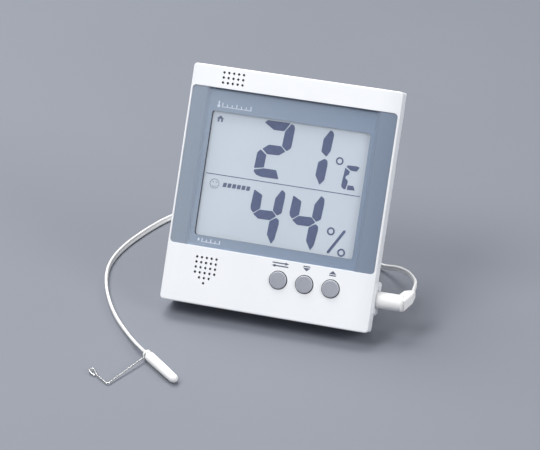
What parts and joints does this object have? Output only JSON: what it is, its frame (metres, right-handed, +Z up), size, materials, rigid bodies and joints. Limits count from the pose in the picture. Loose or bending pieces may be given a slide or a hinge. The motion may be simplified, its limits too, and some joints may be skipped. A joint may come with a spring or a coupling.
{
  "type": "maximum minimum thermometer",
  "caption": "Leaning digital maximum and minimum thermometer with humidity display, push buttons, fold-out stand, battery door and a plug-in wired probe with a wire hanger.",
  "frame": {"origin": "on the table, under the middle of the standing unit's box, without the lead", "axes": "+X to the unit's right as it is read, +Y to its back, +Z up; the face leans back from the reader"},
  "size_m": [0.167, 0.1906, 0.1131],
  "materials": {
    "case_white": "satin moulded",
    "lens_clear": "polished clear plastic",
    "mask_grey_blue": "printed behind the lens",
    "display_film": "printed segments on a grey film",
    "display_glass": "polished",
    "reflector_silver": "silvered film",
    "inner_white": "moulded",
    "strip_rubber": "striped",
    "board_green": "solder mask",
    "screw_steel": "plated",
    "inner_dark": "moulded",
    "button_grey": "satin",
    "wire_sleeve": "smooth",
    "cell_case": "wrapped",
    "contact_plated": "nickel plated",
    "lead_white": "satin",
    "bead_epoxy": "dipped",
    "hanger_steel": "drawn wire"
  },
  "bodies": {
    "unit": {"front_case": "case_white", "rear_cover": "case_white", "display_lens": "lens_clear", "lens_mask": "mask_grey_blue", "lcd_polarizer": "display_film", "lcd_glass": "display_glass", "lcd_reflector": "reflector_silver", "lcd_holder": "inner_white", "contact_strips": "strip_rubber", "circuit_board": "board_green", "board_screws": "screw_steel", "tact_switches": "inner_dark", "humidity_sensor": "inner_white", "air_thermistor": "inner_dark", "chip_cover": "inner_dark", "crystal": "screw_steel", "jack_socket": "inner_dark", "jack_wires": "wire_sleeve", "battery": "cell_case", "battery_plate": "contact_plated", "battery_spring": "contact_plated", "battery_wires": "wire_sleeve", "unit_switch": "inner_dark", "case_screws": "screw_steel"},
    "in_out_button": {"button_in_out": "button_grey"},
    "min_button": {"button_min": "button_grey"},
    "max_button": {"button_max": "button_grey"},
    "stand": {"stand_leg": "case_white"},
    "door": {"battery_door": "case_white"},
    "unit_knob": {"unit_switch_knob": "button_grey"},
    "lead": {"plug_body": "lead_white", "plug_sleeve": "contact_plated", "plug_insulator": "inner_dark", "plug_tip": "contact_plated", "cord_from_plug": "lead_white", "cord_coil": "lead_white", "coil_tie": "inner_dark", "cord_to_probe": "lead_white", "probe_body": "lead_white", "probe_bead": "bead_epoxy"},
    "hanger": {"probe_hanger": "hanger_steel"}
  },
  "joints": [
    {"name": "in_out_press", "type": "slide", "parent": "unit", "child": "in_out_button", "axis": [0, 0.8704, -0.4924], "range_m": [0, 0.0006], "stiffness_N_per_m": 800},
    {"name": "min_press", "type": "slide", "parent": "unit", "child": "min_button", "axis": [0, 0.8704, -0.4924], "range_m": [0, 0.0006], "stiffness_N_per_m": 800},
    {"name": "max_press", "type": "slide", "parent": "unit", "child": "max_button", "axis": [0, 0.8704, -0.4924], "range_m": [0, 0.0006], "stiffness_N_per_m": 800},
    {"name": "stand_fold", "type": "hinge", "parent": "unit", "child": "stand", "pos_m": [-0.0003, 0.01516, 0.06187], "axis": [-1, 0, 0], "range_deg": [0, 43.8]},
    {"name": "door_open", "type": "hinge", "parent": "unit", "child": "door", "pos_m": [-0.0003, 0.02915, 0.08354], "axis": [1, 0, 0], "range_deg": [0, 45]},
    {"name": "unit_slide", "type": "slide", "parent": "unit", "child": "unit_knob", "axis": [1, 0, 0], "range_m": [0, 0.002]},
    {"name": "plug_pull", "type": "slide", "parent": "unit", "child": "lead", "axis": [1, 0, 0], "range_m": [0, 0.0145]},
    {"name": "hanger_turn", "type": "hinge", "parent": "lead", "child": "hanger", "pos_m": [-0.04493, -0.0789, 0.00265], "axis": [-0.7749, 0.632, 0], "range_deg": [0, 180]}
  ]
}
